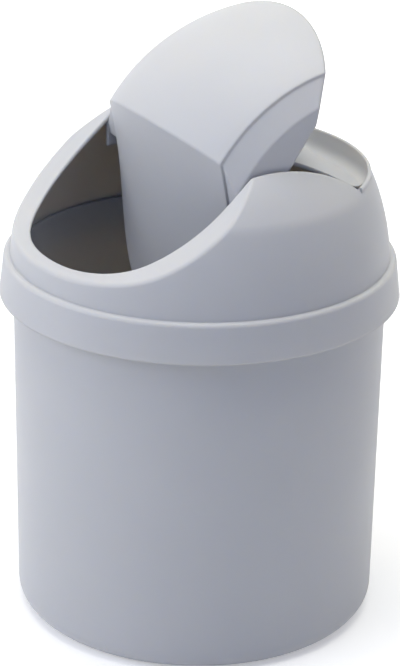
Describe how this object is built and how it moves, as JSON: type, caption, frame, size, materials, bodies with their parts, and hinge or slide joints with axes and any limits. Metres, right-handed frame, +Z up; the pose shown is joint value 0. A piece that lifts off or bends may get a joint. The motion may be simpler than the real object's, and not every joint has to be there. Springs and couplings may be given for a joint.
{
  "type": "countertop trash can",
  "caption": "Round plastic countertop trash can with a lift-off domed hood and a swing lid that pivots between its cheeks, shown open.",
  "frame": {"origin": "centre of the foot ring, on the surface that the can stands on", "axes": "+Z up, -Y towards the mouth at the front, +X along the lid's pivot pins"},
  "size_m": [0.19, 0.19, 0.2928],
  "materials": {
    "plastic": "satin"
  },
  "bodies": {
    "bucket": {"bucket": "plastic"},
    "hood": {"hood": "plastic"},
    "swing_lid": {"swing_lid": "plastic"}
  },
  "joints": [
    {"name": "hood_lift", "type": "slide", "parent": "bucket", "child": "hood", "axis": [0, 0, 1], "range_m": [0, 0.06]},
    {"name": "lid_swing", "type": "hinge", "parent": "hood", "child": "swing_lid", "pos_m": [0, -0.0107, 0.2257], "axis": [1, 0, 0], "range_deg": [-52.3, 0]}
  ]
}
